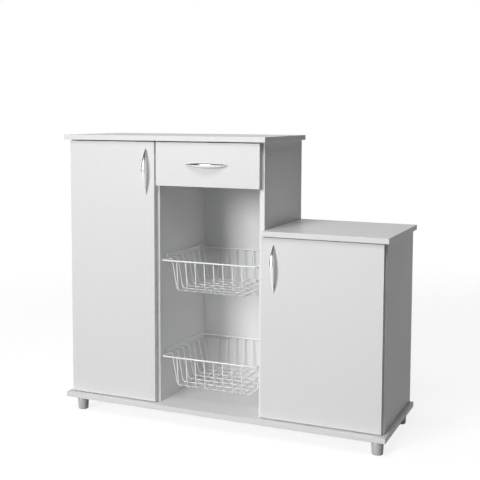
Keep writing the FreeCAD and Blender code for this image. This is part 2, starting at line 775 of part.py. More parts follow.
def basket_channel(rim_z):
    """A left channel: the rim's side runs in its groove, between a thin lip and a thick bar."""
    lip_top = rim_z - basket_rim_radius - roll_gap
    groove_top = rim_z + basket_rim_radius + channel_play
    front = channel_front_inset
    rear = channel_front_inset + channel_length
    open_x = niche_x + channel_depth
    body = block(niche_x, open_x, front, rear, lip_top - channel_wall, groove_top + channel_bar)
    tools = [block(niche_x + channel_wall, open_x, front, rear, lip_top, groove_top)]
    for share in channel_screw_shares:
        place = (niche_x + channel_wall + small_screw_head, front + channel_length * share,
                 groove_top + channel_bar / 2)
        channel_screws.add(place, left)
        tools.append(channel_screws.holes[-1])
        tools.append(turned(place, right, [(small_screw_head_radius + slack, channel_depth)]))
    return bored(body, tools)


lower_basket = basket(floor_z + basket_levels[0])
upper_basket = lower_basket.copy()
upper_basket.translate(up * (basket_levels[1] - basket_levels[0]))
channels = [basket_channel(floor_z + level) for level in basket_levels]

# Boards of the body
left_side_holes = left_hinges.carcass_holes() + panel_screws.holes + dowels.holes + bracket_screws.holes
right_side_holes = ([mirrored(hole) for hole in right_hinges.carcass_holes()] + panel_screws.holes
                    + dowels.holes + bracket_screws.holes)
bay_screw_holes = runner_screws.holes + channel_screws.holes
divider_holes = panel_screws.holes + dowels.holes + bracket_screws.holes + shelf_pins.holes + nails.holes
divider_holes += top_screws.holes + bay_screw_holes + [across_bay(hole) for hole in bay_screw_holes]


def upright(start_x, top_z, holes):
    """An upright board that stands on the base board."""
    return bored(faced_board(start_x, start_x + board, 0, panel_depth, floor_z, top_z), holes)


back_split_x = right_divider_x + board / 2
boards = {
    "left_side_panel": upright(left_side_x, tall_z, left_side_holes + shelf_pins.holes + nails.holes),
    "left_divider": upright(left_divider_x, tall_z, divider_holes),
    "right_divider": upright(right_divider_x, tall_z, divider_holes),
    "right_side_panel": upright(right_side_x, low_z, right_side_holes + shelf_pins.holes + nails.holes),
    "base_board": bored(faced_board(-base_side_reach, body_width + base_side_reach, -base_front_reach, back_y,
                                    base_z, floor_z), panel_screws.holes + foot_screws.holes),
    "left_top_board": bored(faced_board(-top_side_reach, right_room_x + top_side_reach,
                                        -top_front_reach, back_y, tall_z, tall_z + board),
                            dowels.holes + bracket_screws.holes),
    "right_top_board": bored(faced_board(right_room_x, body_width + base_side_reach,
                                         -top_front_reach, back_y, low_z, low_z + board),
                             dowels.holes + bracket_screws.holes + top_screws.holes),
    "niche_ceiling_board": bored(faced_board(niche_x, right_divider_x, 0, panel_depth,
                                             ceiling_z, ceiling_top), dowels.holes),
    "left_back_panel": bored(block(left_side_x + back_edge_gap, back_split_x - back_edge_gap / 2,
                                   panel_depth, back_y, floor_z, tall_z), nails.holes),
    "right_back_panel": bored(block(back_split_x + back_edge_gap / 2, body_width - back_edge_gap,
                                    panel_depth, back_y, floor_z, low_z), nails.holes),
}

# Write every piece
for name, shape in boards.items():
    export(name, shape)
for name, shape in feet.items():
    export(name, shape)
export("foot_screws", foot_screws.solids)
for number, shape in enumerate(left_shelves):
    export("left_shelf_" + str(number + 1), shape)
for number, shape in enumerate(right_shelves):
    export("right_shelf_" + str(number + 1), shape)
export("shelf_pins", shelf_pins.solids)
export("panel_screws", panel_screws.solids + top_screws.solids)
export("wooden_dowels", dowels.solids)
export("corner_brackets", brackets)
export("back_panel_nails", nails.solids)
export("left_door_board", left_door)
export("right_door_board", right_door)
export("left_door_handle", left_handle)
export("right_door_handle", right_handle)
export("left_door_handle_screws", left_handle_screws.solids)
export("right_door_handle_screws", right_handle_screws.solids)
export("left_door_hinge_cups", left_hinges.cups)
export("right_door_hinge_cups", [mirrored(cup) for cup in right_hinges.cups])
export("left_door_hinge_pins", left_hinges.pins.solids)
export("right_door_hinge_pins", [mirrored(pin) for pin in right_hinges.pins.solids])
export("left_door_hinge_screws", left_hinges.cup_screws.solids)
export("right_door_hinge_screws", [mirrored(screw) for screw in right_hinges.cup_screws.solids])
export("hinge_arms", left_hinges.arms + [mirrored(arm) for arm in right_hinges.arms])
export("hinge_plates", left_hinges.plates + [mirrored(plate) for plate in right_hinges.plates])
left_hinge_fixings = left_hinges.plate_screws.solids + left_hinges.arm_screws.solids
right_hinge_fixings = right_hinges.plate_screws.solids + right_hinges.arm_screws.solids
export("hinge_plate_screws", left_hinge_fixings + [mirrored(screw) for screw in right_hinge_fixings])
export("drawer_front_board", drawer_front)
export("drawer_left_side", drawer_left_side)
export("drawer_right_side", drawer_right_side)
export("drawer_back_board", drawer_back)
export("drawer_bottom_panel", drawer_bottom)
export("drawer_dowels", drawer_dowels.solids)
export("drawer_screws", drawer_screws.solids)
export("drawer_handle", drawer_handle)
export("drawer_handle_screws", drawer_handle_screws.solids)
export("cabinet_drawer_runners", left_cabinet_runner + [across_bay(strip) for strip in left_cabinet_runner])
export("moving_drawer_runners", [left_drawer_runner, across_bay(left_drawer_runner)])
for name, shape in (("front_roller", front_roller), ("rear_roller", rear_roller)):
    export(name + "_left", shape)
    export(name + "_right", across_bay(shape))
export("front_roller_axles", front_axles.solids + [across_bay(axle) for axle in front_axles.solids])
export("rear_roller_axles", rear_axles.solids + [across_bay(axle) for axle in rear_axles.solids])
bay_screws = runner_screws.solids + channel_screws.solids
export("small_body_screws", bracket_screws.solids + bay_screws + [across_bay(screw) for screw in bay_screws])
export("moving_runner_screws", drawer_runner_screws.solids
       + [across_bay(screw) for screw in drawer_runner_screws.solids])
export("lower_basket", lower_basket)
export("upper_basket", upper_basket)
export("basket_channels", channels + [across_bay(channel) for channel in channels])
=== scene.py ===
"""Looks of a white kitchen base cabinet with doors, a drawer and two pull-out wire baskets.

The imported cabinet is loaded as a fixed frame. Its boards and fittings get their finishes, and the bow
handles, wire baskets, basket channels, brackets, hinge arms and plates, feet, screws and nails are replaced
by finer surfaces in the same places.
Lengths are in metres: X to the right, Y to the back, Z up from the floor.
"""

import json
import logging
import math
from dataclasses import dataclass, field
from enum import Enum
from typing import Any

import bmesh
import bpy
import numpy as np
from mathutils import Matrix, Vector

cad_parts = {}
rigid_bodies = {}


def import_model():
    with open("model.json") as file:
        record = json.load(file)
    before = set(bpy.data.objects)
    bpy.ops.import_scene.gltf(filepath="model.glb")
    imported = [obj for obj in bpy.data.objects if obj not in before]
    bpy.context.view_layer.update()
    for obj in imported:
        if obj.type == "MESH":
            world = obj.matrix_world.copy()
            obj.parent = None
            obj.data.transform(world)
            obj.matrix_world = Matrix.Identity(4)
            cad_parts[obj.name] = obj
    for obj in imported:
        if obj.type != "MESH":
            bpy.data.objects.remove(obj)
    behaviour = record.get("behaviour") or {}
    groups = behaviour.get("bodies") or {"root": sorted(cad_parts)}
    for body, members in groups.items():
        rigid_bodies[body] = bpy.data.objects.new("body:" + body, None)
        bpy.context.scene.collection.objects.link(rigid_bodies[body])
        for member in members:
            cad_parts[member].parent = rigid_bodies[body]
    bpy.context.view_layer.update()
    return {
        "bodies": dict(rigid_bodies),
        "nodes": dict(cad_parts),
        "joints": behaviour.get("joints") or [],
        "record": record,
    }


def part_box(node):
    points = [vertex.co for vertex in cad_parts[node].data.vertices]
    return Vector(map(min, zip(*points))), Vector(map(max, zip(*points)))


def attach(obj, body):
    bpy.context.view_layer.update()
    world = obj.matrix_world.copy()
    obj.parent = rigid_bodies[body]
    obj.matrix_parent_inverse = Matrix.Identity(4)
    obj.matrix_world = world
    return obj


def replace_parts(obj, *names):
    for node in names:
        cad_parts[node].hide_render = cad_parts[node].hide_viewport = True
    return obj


LOG = logging.getLogger("base_cabinet")
MM = 0.001
EVEN = (1.0, 1.0, 1.0)
NOISE_ROUGHNESS = 0.55
SAME_PLACE = 0.01 * MM
CURVE_ROWS = 9

Array = np.ndarray


class Axis(Enum):
    """A direction of the frame."""

    X = (1.0, 0.0, 0.0)
    Y = (0.0, 1.0, 0.0)
    Z = (0.0, 0.0, 1.0)

    @property
    def index(self) -> int:
        """Place of the axis in a vector."""
        return self.value.index(1.0)

    @property
    def vector(self) -> Array:
        """The axis as an array."""
        return np.array(self.value)


# Shader maths


class Value:
    """A shader socket that carries a number, and takes part in plain arithmetic."""

    def __init__(self, graph: "Graph", socket: bpy.types.NodeSocket | None) -> None:
        """Wrap a socket.

        Args:
            graph: the material's graph.
            socket: an output socket, or None for a node that has no output.
        """
        self.graph = graph
        self.socket = socket

    def _math(self, operation: str, *values: Any) -> "Value":
        """A Math node over the values."""
        return self.graph.add("ShaderNodeMath", {"operation": operation}, dict(enumerate(values)))

    def __add__(self, other: Any) -> "Value":
        """Sum."""
        return self._math("ADD", self, other)

    __radd__ = __add__

    def __sub__(self, other: Any) -> "Value":
        """Difference."""
        return self._math("SUBTRACT", self, other)

    def __rsub__(self, other: Any) -> "Value":
        """Reversed difference."""
        return self._math("SUBTRACT", other, self)

    def __mul__(self, other: Any) -> "Value":
        """Product."""
        return self._math("MULTIPLY", self, other)

    __rmul__ = __mul__

    def __abs__(self) -> "Value":
        """Size without sign."""
        return self._math("ABSOLUTE", self)

    def above(self, limit: float, width: float) -> "Value":
        """A soft step from 0 to 1 round a limit, over a width."""
        inputs = {"Value": self, "From Min": limit - width / 2, "From Max": limit + width / 2}
        return self.graph.add("ShaderNodeMapRange", {"interpolation_type": "SMOOTHSTEP"}, inputs)


class Graph:
    """The nodes of one material or world."""

    def __init__(self, owner: bpy.types.Material | bpy.types.World) -> None:
        """Start the owner's nodes from an empty tree.

        Args:
            owner: the material or the world.
        """
        owner.use_nodes = True
        self.tree = owner.node_tree
        self.tree.nodes.clear()

    def add(self, kind: str, settings: dict[str, Any] | None = None,
            inputs: dict[Any, Any] | None = None, output: int | str = 0) -> Value:
        """Add one node.

        Args:
            kind: the node's type.
            settings: its settings by name.
            inputs: values or links by socket name or number.
            output: the output that is wanted.

        Returns:
            The wanted output socket.
        """
        node = self.tree.nodes.new(kind)
        for name, setting in (settings or {}).items():
            setattr(node, name, setting)
        for name, entry in (inputs or {}).items():
            if isinstance(entry, Value):
                self.tree.links.new(entry.socket, node.inputs[name])
            else:
                node.inputs[name].default_value = entry
        return Value(self, node.outputs[output] if len(node.outputs) else None)

    def place(self) -> Value:
        """The point in the frame."""
        return self.add("ShaderNodeTexCoord", output="Object")

    def facing(self, axis: Axis) -> Value:
        """How far the surface faces along an axis, from -1 to 1: the dot product of normal and axis."""
        inputs = {0: self.add("ShaderNodeTexCoord", output="Normal"), 1: axis.value}
        return self.add("ShaderNodeVectorMath", {"operation": "DOT_PRODUCT"}, inputs, "Value")

    def along(self, axis: Axis) -> Value:
        """The point's coordinate along an axis."""
        return self.add("ShaderNodeSeparateXYZ", inputs={0: self.place()}, output=axis.index)

    def noise(self, scale: float, detail: float, stretch: tuple = EVEN) -> Value:
        """Smooth noise from 0 to 1.

        Args:
            scale: waves per metre.
            detail: how many finer layers.
            stretch: the scale's factor on each axis.

        Returns:
            The noise value.
        """
        point = self.add("ShaderNodeMapping", inputs={"Vector": self.place(), "Scale": stretch})
        inputs = {"Vector": point, "Scale": scale, "Detail": detail, "Roughness": NOISE_ROUGHNESS}
        return self.add("ShaderNodeTexNoise", inputs=inputs)

    def cells(self, scale: float, stretch: tuple = EVEN) -> Value:
        """Cells of random colour, such as specks of ink. Scale and stretch are as for noise."""
        point = self.add("ShaderNodeMapping", inputs={"Vector": self.place(), "Scale": stretch})
        return self.add("ShaderNodeTexVoronoi", inputs={"Vector": point, "Scale": scale}, output="Color")

    def red(self, colour: Value) -> Value:
        """A colour's first part, which turns random colours into random numbers."""
        return self.add("ShaderNodeSeparateColor", inputs={0: colour})

    def scaled(self, colour: tuple, factor: Value) -> Value:
        """A colour made lighter or darker by a factor."""
        return self.add("ShaderNodeVectorMath", {"operation": "SCALE"}, {0: colour, "Scale": factor})

    @staticmethod
    def swing(middle: float, *parts: tuple[Value, float]) -> Value:
        """A number that patterns swing about its middle.

        Args:
            middle: the number where every pattern is at one half.
            parts: each pattern, from 0 to 1, and how far it moves the number from end to end.

        Returns:
            The middle plus each pattern less one half, times its swing.
        """
        return sum(((pattern - 0.5) * swing for pattern, swing in parts), middle)

    def mix(self, mask: Any, below: Any, over: Any) -> Value:
        """Blend two colours: a mask of 0 shows the lower one and 1 the upper one."""
        colours = {6: self._colour(below), 7: self._colour(over), 0: mask}
        return self.add("ShaderNodeMix", {"data_type": "RGBA"}, colours, 2)

    @staticmethod
    def _colour(entry: Any) -> Any:
        """A colour with its fourth number, or a link as it is."""
        return entry if isinstance(entry, Value) else (*entry, 1.0)

    def bump(self, height: Value, distance: float) -> Value:
        """A Bump node's normal, for a relief from about 0 to 1 and its distance from low to high."""
        return self.add("ShaderNodeBump", inputs={"Height": height, "Distance": distance, "Strength": 1.0})


# Finishes


@dataclass(frozen=True)
class Finish:
    """A surface finish. Subclasses fill in what its shader's sockets get."""

    name: str
    slot: str

    def sockets(self, graph: Graph) -> dict[str, Any]:
        """Values and links of the shader's sockets."""
        raise NotImplementedError

    def material(self) -> bpy.types.Material:
        """Make the material, or return the one made before."""
        made = bpy.data.materials.get(self.name)
        if made is not None:
            return made
        made = bpy.data.materials.new(self.name)
        graph = Graph(made)
        shader = graph.add("ShaderNodeBsdfPrincipled", inputs=self.sockets(graph))
        graph.add("ShaderNodeOutputMaterial", inputs={"Surface": shader})
        return made


@dataclass(frozen=True)
class FacedBoard(Finish):
    """White faced chipboard: a fine satin print, brighter edge bands and, on body boards, a raw back edge."""

    thin: Axis = Axis.X
    raw_back: bool = True
    face: tuple = (0.800, 0.802, 0.806)
    band: tuple = (0.865, 0.866, 0.868)
    chip_light: tuple = (0.560, 0.430, 0.290)
    chip_dark: tuple = (0.300, 0.200, 0.120)
    tone: float = 0.99
    cloud_swing: float = 0.03
    upright_grain: tuple = (1.0, 1.0, 0.22)
    upright_swing: float = 0.022
    lying_grain: tuple = (0.06, 1.0, 1.0)
    lying_swing: float = 0.09
    speck_share: float = 0.012
    base_roughness: float = 0.40
    raw_roughness: float = 0.85
    relief_depth: float = 0.03 * MM
    raw_relief: float = 8.0

    def sockets(self, graph: Graph) -> dict[str, Any]:
        """Face, band and raw edge are told apart by which way the surface faces."""
        lying = self.thin is Axis.Z
        cloud = graph.noise(scale=2.2, detail=4.0)
        peel = graph.noise(scale=1500.0, detail=2.0)
        grain = graph.noise(260.0, 5.0, self.lying_grain if lying else self.upright_grain)
        grain_swing = self.lying_swing if lying else self.upright_swing
        tone = graph.swing(self.tone, (cloud, self.cloud_swing), (grain, grain_swing))
        colour = graph.mix(self.speck_share, graph.scaled(self.face, tone), graph.cells(scale=900.0))
        edge = 1.0 - abs(graph.facing(self.thin)).above(limit=0.6, width=0.3)
        if not lying:
            colour = graph.mix(edge, colour, self.band)
        relief = peel * 0.6 + grain * 0.4
        roughness = graph.swing(self.base_roughness, (cloud, 0.08), (peel, 0.05))
        if self.raw_back:
            chip = graph.red(graph.cells(scale=420.0, stretch=(1.0, 1.0, 2.4)))
            fibre = graph.noise(scale=900.0, detail=6.0)
            raw = graph.mix(chip * 0.6 + fibre * 0.4, self.chip_dark, self.chip_light)
            back = graph.facing(Axis.Y).above(limit=0.7, width=0.2) * edge
            colour = graph.mix(back, colour, raw)
            relief = relief * (1.0 - back) + (chip * 0.5 + fibre) * back * self.raw_relief
            roughness = roughness * (1.0 - back) + back * self.raw_roughness
        return {"Base Color": colour, "Roughness": roughness, "Specular IOR Level": 0.42,
                "Normal": graph.bump(relief, self.relief_depth)}


@dataclass(frozen=True)
class BackingBoard(Finish):
    """Thin hardboard: white foil towards the room side and brown fibre with a screen print behind."""

    foil: tuple = (0.835, 0.837, 0.840)
    fibre_light: tuple = (0.460, 0.310, 0.180)
    fibre_dark: tuple = (0.280, 0.175, 0.095)
    tone: float = 0.99
    foil_roughness: float = 0.42
    raw_roughness: float = 0.82
    screen_pitch: float = 1.6 * MM
    relief_depth: float = 0.15 * MM

    def sockets(self, graph: Graph) -> dict[str, Any]:
        """The brown side faces back or down."""
        raw = (graph.facing(Axis.Y) - graph.facing(Axis.Z)).above(limit=0.5, width=0.3)
        cloud = graph.noise(scale=5.0, detail=5.0)
        fibre = graph.noise(scale=700.0, detail=6.0, stretch=(0.5, 1.0, 1.0))
        peel = graph.noise(scale=1200.0, detail=2.0)
        brown = graph.mix(cloud * 0.45 + fibre * 0.55, self.fibre_dark, self.fibre_light)
        white = graph.scaled(self.foil, graph.swing(self.tone, (cloud, 0.03), (fibre, 0.015)))
        relief = (fibre * 0.5 + self.screen(graph) * 0.5) * raw + peel * 0.12
        return {"Base Color": graph.mix(raw, white, brown), "Normal": graph.bump(relief, self.relief_depth),
                "Roughness": self.foil_roughness + raw * (self.raw_roughness - self.foil_roughness),
                "Specular IOR Level": 0.35}

    def screen(self, graph: Graph) -> Value:
        """The mould's wire screen: product of sine waves across and up."""
        turn = 2.0 * math.pi / self.screen_pitch
        across, up = (graph.add("ShaderNodeMath", {"operation": "SINE"}, {0: graph.along(axis) * turn})
                      for axis in (Axis.X, Axis.Z))
        return across * up * 0.5 + 0.5


@dataclass(frozen=True)
class PolishedMetal(Finish):
    """Bright plating with fine drawn lines and a few dull finger marks."""

    tint: tuple = (0.80, 0.81, 0.82)
    tone: float = 0.98
    base_roughness: float = 0.13
    dull_roughness: float = 0.06
    lines: tuple = EVEN
    line_depth: float = 0.001 * MM

    def sockets(self, graph: Graph) -> dict[str, Any]:
        """Roughness carries the marks, a fine bump the drawn lines."""
        marks = graph.noise(scale=60.0, detail=4.0)
        drawn = graph.noise(1400.0, 2.0, self.lines)
        dull = marks.above(limit=0.58, width=0.2) * self.dull_roughness
        return {"Base Color": graph.scaled(self.tint, graph.swing(self.tone, (marks, 0.08))),
                "Metallic": 1.0, "Roughness": graph.swing(self.base_roughness, (drawn, 0.05)) + dull,
                "Normal": graph.bump(drawn, self.line_depth)}


@dataclass(frozen=True)
class ZincPlate(Finish):
    """Zinc-plated steel with pale grains and slightly yellow patches."""

    pale: tuple = (0.66, 0.67, 0.68)
    warm: tuple = (0.60, 0.575, 0.50)
    base_roughness: float = 0.39
    relief_depth: float = 0.01 * MM

    def sockets(self, graph: Graph) -> dict[str, Any]:
        """Grains vary the colour and the roughness."""
        grain = graph.red(graph.cells(scale=650.0))
        patch = graph.noise(scale=45.0, detail=4.0)
        rub = graph.noise(scale=1800.0, detail=3.0)
        return {"Base Color": graph.mix(patch * 0.55 + grain * 0.25, self.pale, self.warm), "Metallic": 1.0,
                "Roughness": graph.swing(self.base_roughness, (grain, 0.14), (patch, 0.10)),
                "Normal": graph.bump(rub, self.relief_depth)}


@dataclass(frozen=True)
class MouldedPlastic(Finish):
    """Moulded plastic with a spark-eroded grain and scuffs near the floor."""

    colour: tuple = (0.68, 0.685, 0.69)
    scuff: tuple = (0.48, 0.48, 0.475)
    tone: float = 0.99
    base_roughness: float = 0.28
    relief_depth: float = 0.05 * MM
    scuff_height: float = 0.0
    scuff_share: float = 0.6
    scuff_roughness: float = 0.2

    def sockets(self, graph: Graph) -> dict[str, Any]:
        """Scuffs gather below the scuff height."""
        flow = graph.noise(scale=30.0, detail=4.0)
        grain = graph.noise(scale=1700.0, detail=3.0)
        colour = graph.scaled(self.colour, graph.swing(self.tone, (flow, 0.08)))
        roughness = graph.swing(self.base_roughness, (grain, 0.12))
        if self.scuff_height:
            low = 1.0 - graph.along(Axis.Z).above(self.scuff_height, self.scuff_height)
            worn = low * graph.noise(scale=220.0, detail=6.0).above(limit=0.5, width=0.25)
            colour = graph.mix(worn * self.scuff_share, colour, self.scuff)
            roughness = roughness + worn * self.scuff_roughness
        return {"Base Color": colour, "Roughness": roughness, "Specular IOR Level": 0.45,
                "Normal": graph.bump(grain + flow * 0.5, self.relief_depth)}


@dataclass(frozen=True)
class DippedCoat(Finish):
    """A thick plastic or epoxy coat over steel: soft runs, a faint orange peel and a clear sheen."""

    colour: tuple = (0.91, 0.912, 0.915)
    shadow: tuple = (0.80, 0.80, 0.795)
    shadow_share: float = 0.35
    base_roughness: float = 0.26
    relief_depth: float = 0.08 * MM

    def sockets(self, graph: Graph) -> dict[str, Any]:
        """Long waves stand for runs of the coat, short ones for its peel."""
        runs = graph.noise(scale=110.0, detail=3.0, stretch=(1.0, 1.0, 0.4))
        peel = graph.noise(scale=900.0, detail=2.0)
        shaded = runs.above(limit=0.62, width=0.3) * self.shadow_share
        return {"Base Color": graph.mix(shaded, self.colour, self.shadow),
                "Roughness": graph.swing(self.base_roughness, (runs, 0.12)),
                "Normal": graph.bump(runs * 0.7 + peel * 0.3, self.relief_depth),
                "Coat Weight": 0.25, "Coat Roughness": 0.12}


@dataclass(frozen=True)
class DowelWood(Finish):
    """Beech: long fine grain with short dark flecks."""

    light: tuple = (0.62, 0.43, 0.25)
    dark: tuple = (0.42, 0.26, 0.13)
    relief_depth: float = 0.1 * MM

    def sockets(self, graph: Graph) -> dict[str, Any]:
        """Grain runs along Z."""
        grain = graph.noise(scale=500.0, detail=6.0, stretch=(1.0, 1.0, 0.06))
        fleck = graph.noise(scale=1400.0, detail=2.0, stretch=(1.0, 1.0, 0.2)).above(limit=0.62, width=0.1)
        return {"Base Color": graph.mix(grain * 0.7 + fleck * 0.3, self.light, self.dark), "Roughness": 0.7,
                "Normal": graph.bump(grain, self.relief_depth)}


CHROME_UPRIGHT = PolishedMetal("handle_chrome_upright", "chrome", lines=(1.0, 1.0, 0.05))
CHROME_LEVEL = PolishedMetal("handle_chrome_level", "chrome", lines=(0.05, 1.0, 1.0))
ZINC = ZincPlate("zinc_plate", "zinc_steel")
FOOT_PLASTIC = MouldedPlastic("foot_plastic", "grey_plastic", scuff_height=14 * MM)
CHANNEL_PLASTIC = MouldedPlastic("channel_plastic", "channel_plastic", colour=(0.90, 0.902, 0.905),
                                 base_roughness=0.34, relief_depth=0.02 * MM)
ROLLER_PLASTIC = MouldedPlastic("roller_plastic", "roller_plastic", colour=(0.80, 0.80, 0.79),
                                base_roughness=0.30, relief_depth=0.01 * MM)
WIRE_COAT = DippedCoat("wire_coat", "coated_wire")
RUNNER_COAT = DippedCoat("runner_coat", "coated_steel", colour=(0.80, 0.80, 0.78), base_roughness=0.34)
HARDBOARD = BackingBoard("hardboard", "backing_board")
BEECH = DowelWood("beech_dowel", "dowel_wood")


# Objects in the scene


def linked(name: str, data: Any) -> bpy.types.Object:
    """Put an object in the scene.

    Args:
        name: its name.
        data: its mesh, light or camera.

    Returns:
        The object.
    """
    made = bpy.data.objects.new(name, data)
    bpy.context.scene.collection.objects.link(made)
    return made


def riding(mesh: bpy.types.Mesh, finish: Finish, body: str) -> bpy.types.Object:
    """Dress a mesh and let it ride.

    Args:
        mesh: the mesh, whose name the piece takes.
        finish: its finish.
        body: the body that it moves with.

    Returns:
        The piece.
    """
    mesh.materials.clear()
    mesh.materials.append(finish.material())
    piece = linked(mesh.name, mesh)
    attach(piece, body)
    return piece


_FRAME: dict[str, Any] = {}


def frame_mesh(node: str) -> bpy.types.Mesh:
    """A node's own mesh."""
    return _FRAME["nodes"][node].data


def mesh_points(node: str) -> Array:
    """The points of a node's mesh.

    Args:
        node: the node's name.

    Returns:
        Array of points and 3.
    """
    vertices = frame_mesh(node).vertices
    points = np.zeros(len(vertices) * 3)
    vertices.foreach_get("co", points)
    return points.reshape(-1, 3)


def box(node: str) -> tuple[Array, Array]:
    """Lowest and highest corner of a node, as arrays."""
    low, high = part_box(node)
    return np.array(low), np.array(high)


# Surfaces worked out as whole arrays


@dataclass
class Surface:
    """Points and faces of a piece that is being put together."""

    points: list[Array] = field(default_factory=list)
    quads: list[Array] = field(default_factory=list)
    fans: list[Array] = field(default_factory=list)
    count: int = 0

    def grid(self, points: Array, loop: bool = False) -> None:
        """Add a tube given as rings of points, each of which closes on itself.

        Args:
            points: array of rows, columns and 3. Rows run along the piece and columns round it.
            loop: whether the last row joins the first. If not, each end row is closed with a fan to its
                middle.
        """
        rows, columns = points.shape[:2]
        index = np.arange(rows * columns).reshape(rows, columns) + self.count
        index = np.concatenate([index, index[:, :1]], axis=1)
        if loop:
            index = np.concatenate([index, index[:1]], axis=0)
        corners = (index[:-1, :-1], index[:-1, 1:], index[1:, 1:], index[1:, :-1])
        self.quads.append(np.stack(corners, axis=-1).reshape(-1, 4))
        self.points.append(points.reshape(-1, 3))
        self.count += rows * columns
        if loop:
            return
        for row, ring in ((0, index[0]), (rows - 1, index[-1])):
            hub = np.full(columns, self.count)
            self.fans.append(np.stack((ring[1:], ring[:-1], hub), axis=-1))
            self.points.append(points[row].mean(axis=0).reshape(1, 3))
            self.count += 1

    def build(self, name: str, finish: Finish, body: str) -> bpy.types.Object:
        """Make the piece, with smooth shading and its faces turned outwards, dress it and let it ride.

        Args:
            name: the piece's name.
            finish: its finish.
            body: the body that it moves with.

        Returns:
            The piece.
        """
        mesh = bpy.data.meshes.new(name)
        faces = [*np.concatenate(self.quads).tolist(), *np.concatenate(self.fans).tolist()]
        mesh.from_pydata(np.concatenate(self.points), [], faces)
        mesh.validate()
        mesh.shade_smooth()
        work = bmesh.new()
        work.from_mesh(mesh)
        bmesh.ops.recalc_face_normals(work, faces=work.faces)
        work.to_mesh(mesh)
        work.free()
        return riding(mesh, finish, body)


def circle(sides: int) -> Array:
    """Cosines and sines of evenly spaced angles, anticlockwise.

    Args:
        sides: how many.

    Returns:
        Array of sides and 2.
    """
    angles = np.linspace(0.0, 2.0 * math.pi, sides, endpoint=False)
    return np.stack([np.cos(angles), np.sin(angles)], axis=-1)


def bent_line(corners: Array, radii: Array, steps: int = 8) -> Array:
    """Straight runs with a round bend at each inner corner.

    A bend is a round arc, drawn as a weighted Bezier curve. It leaves the first run, and joins the next,
    at the bend radius times the tangent of half the turn from the corner.

    Args:
        corners: the runs' corners, ends included.
        radii: bend radius at each inner corner.
        steps: points in each bend.

    Returns:
        The path's points.
    """
    into = corners[1:-1] - corners[:-2]
    out = corners[2:] - corners[1:-1]
    into /= np.linalg.norm(into, axis=1, keepdims=True)
    out /= np.linalg.norm(out, axis=1, keepdims=True)
    half = np.arccos(np.clip((into * out).sum(axis=1), -1.0, 1.0)) / 2.0
    cut = (radii * np.tan(half))[:, None]
    start = corners[1:-1] - into * cut
    end = corners[1:-1] + out * cut
    share = np.linspace(0.0, 1.0, steps)[None, :, None]
    weight = np.cos(half)[:, None, None]
    middle = corners[1:-1][:, None]
    mass = (1 - share) ** 2 + 2 * share * (1 - share) * weight + share ** 2
    arcs = ((1 - share) ** 2 * start[:, None] + 2 * share * (1 - share) * weight * middle
            + share ** 2 * end[:, None]) / mass
    return np.concatenate([corners[:1], arcs.reshape(-1, 3), corners[-1:]])


def tube(path: Array, radius: float, normal: Array, sides: int = 12, closed: bool = False) -> Array:
    """A round tube along a path that lies in one plane.

    Each ring is centre plus radius times (cosine along the plane's normal, sine along normal cross tangent).

    Args:
        path: the centre line's points.
        radius: the tube's radius.
        normal: the normal of the path's plane.
        sides: points in a ring.
        closed: whether the path is a loop.

    Returns:
        Array of points, sides and 3.
    """
    if closed:
        tangent = np.roll(path, -1, axis=0) - np.roll(path, 1, axis=0)
    else:
        tangent = np.gradient(path, axis=0)
    tangent /= np.linalg.norm(tangent, axis=1, keepdims=True)
    across = np.cross(tangent, normal)
    across /= np.linalg.norm(across, axis=1, keepdims=True)
    ring = circle(sides) * radius
    return path[:, None] + ring[None, :, :1] * normal - ring[None, :, 1:] * across[:, None]


def lathe(profile: Array, centre: Array, axis: Array, sides: int = 32) -> Array:
    """A profile of (radius, height) turned about an axis.

    Args:
        profile: radius and height of each row.
        centre: the axis's foot.
        axis: its direction, square to X.
        sides: points in a ring.

    Returns:
        Array of rows, sides and 3.
    """
    ring = circle(sides)
    spokes = ring[:, :1] * Axis.X.vector + ring[:, 1:] * np.cross(axis, Axis.X.vector)
    return centre + profile[:, :1, None] * spokes + profile[:, 1:, None] * axis


def islands(node: str) -> list[tuple[Array, Array]]:
    """Lowest and highest corner of each separate solid in a node's mesh.

    Corners that meet share a number, and each number then falls to the lowest one that it touches.

    Args:
        node: the node's name.

    Returns:
        A (low, high) pair for each solid.
    """
    mesh = frame_mesh(node)
    points = mesh_points(node)
    mesh.calc_loop_triangles()
    triangles = np.zeros(len(mesh.loop_triangles) * 3, np.int32)
    mesh.loop_triangles.foreach_get("vertices", triangles)
    _, merged = np.unique(np.round(points / SAME_PLACE).astype(np.int64), axis=0, return_inverse=True)
    triangles = merged.ravel()[triangles].reshape(-1, 3)
    labels = np.arange(merged.max() + 1)
    while True:
        lowest = labels[triangles].min(axis=1)
        fresh = labels.copy()
        np.minimum.at(fresh, triangles.ravel(), np.repeat(lowest, 3))
        if (fresh == labels).all():
            break
        labels = fresh
    group = labels[merged.ravel()]
    return [(points[group == key].min(axis=0), points[group == key].max(axis=0)) for key in np.unique(group)]


# Sub-assemblies


